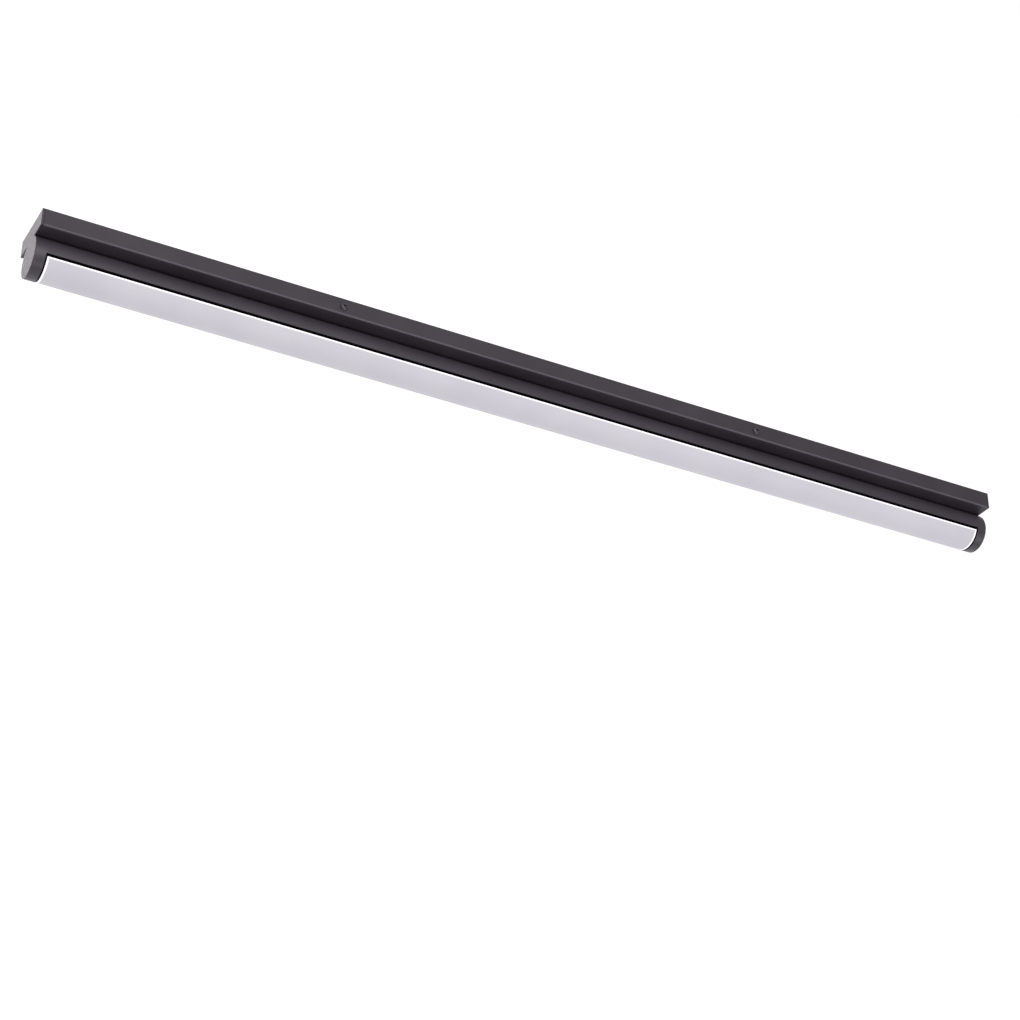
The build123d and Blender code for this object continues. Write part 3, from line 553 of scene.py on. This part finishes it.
# %% [markdown]
# ## The diffuser as a drawn section
# A real diffuser is extruded: one section, pushed out by the metre. The section is an arc flush with
# the tube, with a thin tongue along each edge that clips into a groove. It is drawn flat, as angle
# and radius, and the tree bends it round the tube's axis and sweeps it along the bar. The long
# edges are rounded, which the CAD part leaves sharp, so they take a fine highlight.

# %% Section points: angle round the axis and radius
DIFFUSER_THICK = 1.9 * MM
TONGUE_RADII = (17.35 * MM, 17.9 * MM)
TONGUE_TURN = math.radians(77.5)
EDGE_ROUND = 0.3 * MM
ARC_STEPS = 64
ROUND_STEPS = 5


def half_edge():
    """The upper edge of the section, from the outer face round to the tongue and the inner face."""
    corner = DIFFUSER_HALF - EDGE_ROUND / TUBE_RADIUS
    points = []
    for step in range(ROUND_STEPS):
        turn = math.radians(90) * step / (ROUND_STEPS - 1)
        across = EDGE_ROUND * math.sin(turn) / TUBE_RADIUS
        points.append((corner + across, TUBE_RADIUS - EDGE_ROUND * (1 - math.cos(turn))))
    points.append((DIFFUSER_HALF, TONGUE_RADII[1]))
    points += [(TONGUE_TURN, TONGUE_RADII[1]), (TONGUE_TURN, TONGUE_RADII[0])]
    return points + [(DIFFUSER_HALF - 0.02, TONGUE_RADII[0])]


edge_points = half_edge()
outer = [(DIFFUSER_HALF * (2 * k / ARC_STEPS - 1) * 0.97, TUBE_RADIUS) for k in range(ARC_STEPS + 1)]
inner = [(-turn, TUBE_RADIUS - DIFFUSER_THICK) for turn, radius in outer]
section = outer + edge_points + inner + [(-turn, radius) for turn, radius in reversed(edge_points)]
print(len(section), "points in the diffuser's section")

# %% The tree: bend the flat section and sweep it
sweep_tree, given = new_tree(
    "extruded_cover", {"Length": "Float", "Axis Depth": "Float", "Material": "Material"}
)
loop = add(sweep_tree, "GeometryNodeMeshToCurve", {"Mesh": given["Geometry"]}).outputs[0]
spot = add(sweep_tree, "GeometryNodeInputPosition").outputs[0]
turn, radius, _ = add(sweep_tree, "ShaderNodeSeparateXYZ", {"Vector": spot}).outputs
cosine = add(sweep_tree, "ShaderNodeMath", {0: turn}, operation="COSINE").outputs[0]
sine = add(sweep_tree, "ShaderNodeMath", {0: turn}, operation="SINE").outputs[0]
ahead = add(sweep_tree, "ShaderNodeMath", {0: radius, 1: cosine}, operation="MULTIPLY").outputs[0]
rise = add(sweep_tree, "ShaderNodeMath", {0: radius, 1: sine}, operation="MULTIPLY").outputs[0]
depth = add(sweep_tree, "ShaderNodeMath", {0: ahead, 1: given["Axis Depth"]}, operation="ADD").outputs[0]
drop = add(sweep_tree, "ShaderNodeMath", {0: rise, 1: -1.0}, operation="MULTIPLY").outputs[0]
bent_to = add(sweep_tree, "ShaderNodeCombineXYZ", {"X": depth, "Y": drop}).outputs[0]
bent = add(sweep_tree, "GeometryNodeSetPosition", {"Geometry": loop, "Position": bent_to}).outputs[0]
half = add(sweep_tree, "ShaderNodeMath", {0: given["Length"], 1: 0.5}, operation="MULTIPLY").outputs[0]
back = add(sweep_tree, "ShaderNodeMath", {0: half, 1: -1.0}, operation="MULTIPLY").outputs[0]
path = add(
    sweep_tree,
    "GeometryNodeCurvePrimitiveLine",
    {
        "Start": add(sweep_tree, "ShaderNodeCombineXYZ", {"X": back}).outputs[0],
        "End": add(sweep_tree, "ShaderNodeCombineXYZ", {"X": half}).outputs[0],
    },
).outputs[0]
swept = add(
    sweep_tree, "GeometryNodeCurveToMesh", {"Curve": path, "Profile Curve": bent, "Fill Caps": True}
).outputs[0]
smooth = add(sweep_tree, "GeometryNodeSetShadeSmooth", {"Geometry": swept}).outputs[0]
close_tree(sweep_tree, smooth, given["Material"])

# %% Bake the diffuser
ring = [(k, (k + 1) % len(section)) for k in range(len(section))]
flat = [(turn, radius, 0) for turn, radius in section]
sizes = {"Length": 2 * TUBE_END, "Axis Depth": TUBE_AXIS, "Material": FINISHES["opal"]}
cover = bake("opal_cover", sweep_tree, sizes, flat, ring)
cover.data.set_sharp_from_angle(angle=math.radians(35))
settle(cover, "lamp", "opal", "diffuser")
print("cover box", [round(v / MM, 2) for corner in cover.bound_box for v in corner][:3])

# %% [markdown]
# ## Screws from one tree
# Every screw in the lamp is the same idea: a domed head, a drive cut into it, and a rolled thread.
# Each could be turned and cut by hand, but they differ only in sizes, so one tree makes them all.
# The head is a ball pressed between two planes, which gives a dome with a flat seat. A boolean cuts
# the drive. The thread is a ridge swept along a spiral round a plain core, no wider than the
# CAD shank, so it still passes through its nut. The screw is then placed at every given point.

# %% The screw tree
SCREW_INPUTS = {
    "Head Radius": "Float",
    "Head Height": "Float",
    "Shank Radius": "Float",
    "Length": "Float",
    "Pitch": "Float",
    "Drive Width": "Float",
    "Drive Length": "Float",
    "Cross Length": "Float",
    "Hex Drive": "Bool",
    "Turn": "Rotation",
    "Material": "Material",
}
screw_tree, given = new_tree("machine_screw", SCREW_INPUTS)


def maths(kind, first, second):
    """The output of one maths step in the screw tree, such as MULTIPLY or SUBTRACT."""
    return add(screw_tree, "ShaderNodeMath", {0: first, 1: second}, operation=kind).outputs[0]


def vector_of(**parts):
    """A vector from parts named X, Y and Z."""
    return add(screw_tree, "ShaderNodeCombineXYZ", parts).outputs[0]


radius, height = given["Head Radius"], given["Head Height"]
ball = add(screw_tree, "GeometryNodeMeshUVSphere", {"Segments": 40, "Rings": 22, "Radius": 1.0}).outputs[0]
wide = vector_of(X=radius, Y=radius, Z=maths("MULTIPLY", height, 1.12))
round_head = add(screw_tree, "GeometryNodeTransform", {"Geometry": ball, "Scale": wide}).outputs[0]
x, y, z = add(
    screw_tree, "ShaderNodeSeparateXYZ", {"Vector": add(screw_tree, "GeometryNodeInputPosition").outputs[0]}
).outputs
pressed = add(screw_tree, "ShaderNodeClamp", {"Value": z, "Min": 0.0, "Max": height}).outputs[0]
flat_spot = vector_of(X=x, Y=y, Z=pressed)
head = add(screw_tree, "GeometryNodeSetPosition", {"Geometry": round_head, "Position": flat_spot}).outputs[0]
tidy = add(screw_tree, "GeometryNodeMergeByDistance", {"Geometry": head, "Distance": 0.001 * MM}).outputs[0]

deep = maths("MULTIPLY", height, 1.1)
hex_radius = maths("MULTIPLY", given["Drive Width"], 1 / math.sqrt(3))
hexagon = add(
    screw_tree, "GeometryNodeMeshCylinder", {"Vertices": 6, "Radius": hex_radius, "Depth": deep}
).outputs["Mesh"]
slot = add(
    screw_tree,
    "GeometryNodeMeshCube",
    {"Size": vector_of(X=given["Drive Length"], Y=given["Drive Width"], Z=deep)},
).outputs["Mesh"]
across = add(
    screw_tree,
    "GeometryNodeMeshCube",
    {"Size": vector_of(X=given["Drive Width"], Y=given["Cross Length"], Z=deep)},
).outputs["Mesh"]
drive = add(
    screw_tree, "GeometryNodeSwitch", {"Switch": given["Hex Drive"], "True": hexagon, "False": slot}
).outputs[0]
raised = vector_of(Z=height)
cutter = add(screw_tree, "GeometryNodeTransform", {"Geometry": drive, "Translation": raised}).outputs[0]
crosser = add(screw_tree, "GeometryNodeTransform", {"Geometry": across, "Translation": raised}).outputs[0]
cut = add(
    screw_tree,
    "GeometryNodeMeshBoolean",
    {"Mesh 1": tidy, "Mesh 2": cutter, "Self Intersection": True},
    operation="DIFFERENCE",
    solver="EXACT",
)
screw_tree.links.new(crosser, cut.inputs["Mesh 2"])

ridge = maths("MULTIPLY", given["Pitch"], 0.36)
core_radius = maths("SUBTRACT", given["Shank Radius"], ridge)
turns = maths("DIVIDE", given["Length"], given["Pitch"])
spiral = add(
    screw_tree,
    "GeometryNodeCurveSpiral",
    {
        "Resolution": 16,
        "Rotations": maths("SUBTRACT", turns, 0.5),
        "Start Radius": core_radius,
        "End Radius": core_radius,
        "Height": maths("SUBTRACT", given["Length"], given["Pitch"]),
    },
).outputs[0]
tooth = add(
    screw_tree, "GeometryNodeCurvePrimitiveCircle", {"Resolution": 4, "Radius": ridge}
).outputs[0]
thread = add(
    screw_tree, "GeometryNodeCurveToMesh", {"Curve": spiral, "Profile Curve": tooth, "Fill Caps": True}
).outputs[0]
core = add(
    screw_tree,
    "GeometryNodeMeshCylinder",
    {"Vertices": 24, "Radius": core_radius, "Depth": given["Length"]},
).outputs["Mesh"]
half_down = vector_of(Z=maths("MULTIPLY", given["Length"], -0.5))
start_low = vector_of(Z=maths("SUBTRACT", maths("MULTIPLY", given["Pitch"], 0.5), given["Length"]))
core = add(screw_tree, "GeometryNodeTransform", {"Geometry": core, "Translation": half_down}).outputs[0]
thread = add(screw_tree, "GeometryNodeTransform", {"Geometry": thread, "Translation": start_low}).outputs[0]
whole = add(screw_tree, "GeometryNodeJoinGeometry", {"Geometry": cut.outputs[0]})
screw_tree.links.new(core, whole.inputs[0])
screw_tree.links.new(thread, whole.inputs[0])
spots = add(screw_tree, "GeometryNodeMeshToPoints", {"Mesh": given["Geometry"]}).outputs[0]
placed = add(
    screw_tree,
    "GeometryNodeInstanceOnPoints",
    {"Points": spots, "Instance": whole.outputs[0], "Rotation": given["Turn"]},
).outputs[0]
close_tree(screw_tree, placed, given["Material"])


# %% Sizes of each kind of screw, in millimetres
def screws(name, slot, seats, turn, sizes, hex_drive=False):
    """Bakes screws with their seats at these points. Sizes run in the order of the tree's inputs."""
    values = {label: size * MM for label, size in zip(SCREW_INPUTS, sizes)}
    values |= {"Hex Drive": hex_drive, "Turn": turn, "Material": FINISHES[slot]}
    made = bake(name, screw_tree, values, seats)
    made.data.shade_smooth()
    made.data.set_sharp_from_angle(angle=math.radians(40))
    return made


def middle(node):
    """The middle of a CAD part."""
    low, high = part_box(node)
    return (low + high) / 2


UPRIGHT = (0, 0, 0)
TO_WALL = (math.radians(-90), 0, 0)
FROM_WALL = (math.radians(90), 0, 0)
M4_BUTTON = (4.0, 2.66, 2.0, 11.0, 0.7, 2.5, 2.5, 2.5)
for side in ("left", "right"):
    node = f"fixing_screw_{side}"
    seat = middle(node)
    point = (seat.x, seat.y, CANOPY_HIGH.z)
    made = screws(f"button_screw_{side}", "black_screw", [point], UPRIGHT, M4_BUTTON, True)
    settle(made, node, "black_screw", node)

# %% [markdown]
# ## The screws inside
# Six pan-head screws hold the tube to the canopy, eight small ones hold the LED boards, and six grub
# screws clamp the wires. The seats come from each CAD part's own pieces: the script groups a
# part's points into its separate solids and reads where each one's head begins.

# %% Find the solids in a CAD part
def solids_of(node):
    """The box of each separate solid in a CAD part, from left to right."""
    shell = bmesh.new()
    shell.from_mesh(NODES[node].data)
    bmesh.ops.remove_doubles(shell, verts=shell.verts, dist=0.001 * MM)
    waiting = set(shell.verts)
    boxes = []
    while waiting:
        to_visit, found = [waiting.pop()], []
        while to_visit:
            vert = to_visit.pop()
            found.append(vert.co.copy())
            near = {edge.other_vert(vert) for edge in vert.link_edges} & waiting
            waiting -= near
            to_visit += near
        boxes.append((Vector(map(min, *found)), Vector(map(max, *found))))
    shell.free()
    return sorted(boxes, key=lambda box: (round(box[0].x, 5), box[0].z))


def seats(node, height, towards_wall):
    """Where each head's underside is: one head height in from the end that the head is at."""
    points = []
    for low, high in solids_of(node):
        y = high.y - height * MM if towards_wall else low.y + height * MM
        points.append(((low.x + high.x) / 2, y, (low.z + high.z) / 2))
    return points


PAN_M3 = (2.9, 2.1, 1.48, 8.0, 0.5, 0.7, 3.4, 3.4)
PAN_M25 = (2.6, 1.7, 1.23, 5.5, 0.45, 0.6, 3.0, 3.0)
CLAMP_M3 = (1.7, 1.7, 1.2, 1.3, 0.5, 0.5, 4.0, 0.5)
inner = {
    "pan_screws": ("tube_screws", TO_WALL, PAN_M3, True),
    "board_pan_screws": ("board_screws", FROM_WALL, PAN_M25, False),
    "clamp_screws": ("terminal_screws", TO_WALL, CLAMP_M3, True),
}
for name, (node, turn, sizes, towards_wall) in inner.items():
    made = screws(name, "steel", seats(node, sizes[1], towards_wall), turn, sizes)
    settle(made, "lamp", "steel", node)

# %% [markdown]
# ## Rows of chips on the boards
# A light strip is a row: a white package every 12 mm with a window of yellow phosphor, and between
# every few of them a small resistor. Both are a block with a second block let through its top, so
# one tree makes both, with a pitch, a count and the two sizes.

# %% The chip row tree
CHIP_INPUTS = {
    "Pitch": "Float",
    "Count": "Int",
    "Body": "Vector",
    "Window": "Vector",
    "Body Material": "Material",
    "Window Material": "Material",
}
chip_tree, given = new_tree("chip_row", CHIP_INPUTS)
along = add(chip_tree, "ShaderNodeCombineXYZ", {"X": given["Pitch"]}).outputs[0]
line = add(
    chip_tree,
    "GeometryNodeMeshLine",
    {"Count": given["Count"], "Offset": along},
    mode="OFFSET",
).outputs[0]
rows = {"Points": given["Geometry"], "Instance": line}
row = add(chip_tree, "GeometryNodeInstanceOnPoints", rows).outputs[0]
row = add(chip_tree, "GeometryNodeRealizeInstances", {"Geometry": row}).outputs[0]
layers = add(chip_tree, "GeometryNodeJoinGeometry")
for size, material in (("Window", "Window Material"), ("Body", "Body Material")):
    lift = add(chip_tree, "ShaderNodeVectorMath", {0: given[size], 1: (0, -0.5, 0)}, operation="MULTIPLY")
    cube = add(chip_tree, "GeometryNodeMeshCube", {"Size": given[size]}).outputs["Mesh"]
    moved = {"Geometry": cube, "Translation": lift.outputs[0]}
    cube = add(chip_tree, "GeometryNodeTransform", moved).outputs[0]
    chips = add(chip_tree, "GeometryNodeInstanceOnPoints", {"Points": row, "Instance": cube}).outputs[0]
    real = add(chip_tree, "GeometryNodeRealizeInstances", {"Geometry": chips}).outputs[0]
    finish = {"Geometry": real, "Material": given[material]}
    done = add(chip_tree, "GeometryNodeSetMaterial", finish).outputs[0]
    chip_tree.links.new(done, layers.inputs[0])
add(chip_tree, "NodeGroupOutput", {0: layers.outputs[0]})

# %% LEDs, and the resistors beside them
LED_PITCH = 12.0 * MM
package_white = plain_moulding("led_package_white", "#e4e4e2", "#f0f0ee", 0.45, 1.5, 0.4)
board_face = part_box("led_board_left")[0].y
for side in ("left", "right"):
    leds = solids_of(f"leds_{side}")
    low, high = leds[0]
    wide, thick, tall = high - low
    first = ((low.x + high.x) / 2, board_face, 0)
    values = {
        "Pitch": LED_PITCH,
        "Count": len(leds),
        "Body": (wide, thick * 0.9, tall),
        "Window": (wide * 0.68, thick, tall * 0.74),
        "Body Material": package_white,
        "Window Material": FINISHES["led_phosphor"],
    }
    made = bake(f"led_row_{side}", chip_tree, values, [first])
    settle(made, "lamp", "led_phosphor", f"leds_{side}")
    values |= {
        "Pitch": 4 * LED_PITCH,
        "Count": len(leds) // 4,
        "Body": (2.0 * MM, 0.45 * MM, 1.25 * MM),
        "Window": (1.3 * MM, 0.55 * MM, 1.25 * MM),
        "Body Material": TIN,
        "Window Material": FINISHES["epoxy_black"],
    }
    beside = (first[0] + 1.5 * LED_PITCH, board_face, 5.0 * MM)
    made = bake(f"resistors_{side}", chip_tree, values, [beside])
    settle(made, "lamp", "epoxy_black")

# %% [markdown]
# ## Windings in the driver
# The choke and the transformer are wound with enamelled copper. A winding is one wire on a spiral,
# so the tree sweeps a round wire along a spiral and presses it to an oval where the former is oval.
# The wire's thickness sets the height, so that the turns lie side by side.

# %% The winding tree and its two coils
COIL_INPUTS = {
    "Radius": "Float",
    "Wire": "Float",
    "Turns": "Float",
    "Oval": "Vector",
    "Turn": "Rotation",
    "Material": "Material",
}
coil_tree, given = new_tree("winding", COIL_INPUTS)
layers_high = {0: given["Wire"], 1: given["Turns"]}
rise = add(coil_tree, "ShaderNodeMath", layers_high, operation="MULTIPLY").outputs[0]
spiral = add(
    coil_tree,
    "GeometryNodeCurveSpiral",
    {
        "Resolution": 24,
        "Rotations": given["Turns"],
        "Start Radius": given["Radius"],
        "End Radius": given["Radius"],
        "Height": rise,
    },
).outputs[0]
oval = add(coil_tree, "GeometryNodeTransform", {"Geometry": spiral, "Scale": given["Oval"]}).outputs[0]
half_wire = add(coil_tree, "ShaderNodeMath", {0: given["Wire"], 1: 0.5}, operation="MULTIPLY").outputs[0]
wire = add(coil_tree, "GeometryNodeCurvePrimitiveCircle", {"Resolution": 8, "Radius": half_wire}).outputs[0]
swept = add(
    coil_tree, "GeometryNodeCurveToMesh", {"Curve": oval, "Profile Curve": wire, "Fill Caps": True}
).outputs[0]
centred = add(coil_tree, "ShaderNodeMath", {0: rise, 1: -0.5}, operation="MULTIPLY").outputs[0]
centred = add(coil_tree, "ShaderNodeCombineXYZ", {"Z": centred}).outputs[0]
swept = add(coil_tree, "GeometryNodeTransform", {"Geometry": swept, "Translation": centred}).outputs[0]
placed = add(
    coil_tree,
    "GeometryNodeInstanceOnPoints",
    {"Points": given["Geometry"], "Instance": swept, "Rotation": given["Turn"]},
).outputs[0]
smooth = add(coil_tree, "GeometryNodeSetShadeSmooth", {"Geometry": placed}).outputs[0]
close_tree(coil_tree, smooth, given["Material"])

COPPER = enamelled_copper()
coils = {
    "choke_winding": ("driver_choke", 3.85, 0.34, 7.0, (1, 1, 1), FROM_WALL, (0, -0.4, 0)),
    "transformer_winding": ("driver_transformer", 4.6, 0.4, 3.0, (1, 1.6, 1), FROM_WALL, (0, 1.6, 0)),
}
for name, (node, size, gauge, turns, stretch, facing, shift) in coils.items():
    values = {"Radius": size * MM, "Wire": gauge * MM, "Turns": turns, "Oval": stretch}
    values |= {"Turn": facing, "Material": COPPER}
    made = bake(name, coil_tree, values, [middle(node) + Vector(shift) * MM])
    settle(made, "lamp", None)

# %% [markdown]
# ## A pale room with soft light
# A catalogue picture of a black lamp needs large lights, because a small one would only leave a dot
# on a matt coat. One wide light hangs overhead towards the left, so the upper side is brightest
# there. A weaker one stands in front, so that the front faces keep some light. A third stands low
# beyond the left end and lights the end plate, which is why that plate is paler than the rest.
# The floor is far below and so pale that it prints as white.

# %% Floor, world and lights
FLOOR_DROP = 2.6
FLOOR_HALF = 40.0


def pale_floor():
    """Matt white board with a faint tooth, lit enough to stay white."""
    made = start("floor_board_white", 0.9, emission_strength=0.6)
    shades(made, "#efefef", "#f4f4f4", patches(made, 400))
    made.node_tree.nodes["Principled BSDF"].inputs["Emission Color"].default_value = colour("#ffffff")
    return made


corners = [(x * FLOOR_HALF, y * FLOOR_HALF, -FLOOR_DROP) for x, y in ((-1, -1), (1, -1), (1, 1), (-1, 1))]
ground = bpy.data.meshes.new("floor")
ground.from_pydata(corners, [], [(0, 1, 2, 3)])
ground.materials.append(pale_floor())
floor = bpy.data.objects.new("floor", ground)
scene.collection.objects.link(floor)
floor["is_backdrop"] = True

world = bpy.data.worlds.new("studio")
world.use_nodes = True
world.node_tree.nodes["Background"].inputs["Color"].default_value = colour("#ffffff")
world.node_tree.nodes["Background"].inputs["Strength"].default_value = 0.35
scene.world = world
scene.view_settings.view_transform = "Standard"


def soft_light(name, place, aim, size, power, tint="#ffffff"):
    """A square light that faces a point and doesn't show itself."""
    lamp = bpy.data.lights.new(name, "AREA")
    lamp.color = colour(tint)[:3]
    lamp.size = size
    lamp.energy = power
    holder = bpy.data.objects.new(name, lamp)
    holder.location = place
    holder.rotation_euler = (Vector(aim) - Vector(place)).to_track_quat("-Z", "Y").to_euler()
    holder.visible_camera = False
    scene.collection.objects.link(holder)


LEFT_END = CAD_LOW.x
soft_light("overhead", (-1.0, 0.4, 3.2), (-0.2, 0, 0), 3.2, 88)
soft_light("front_right", (1.6, -3.0, 2.0), (0, 0, 0), 1.5, 45)
soft_light("beyond_left_end", (LEFT_END - 0.55, 0.6, -0.95), (LEFT_END, 0, 0), 1.2, 3.3, "#ffeffc")

# %% [markdown]
# ## The size
# Both boxes, the CAD model's near the top and this one, are printed for comparison.

# %% Sizes
low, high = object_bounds()
print("visual box", [round(v / MM, 1) for v in (*low, *high)], "mm")
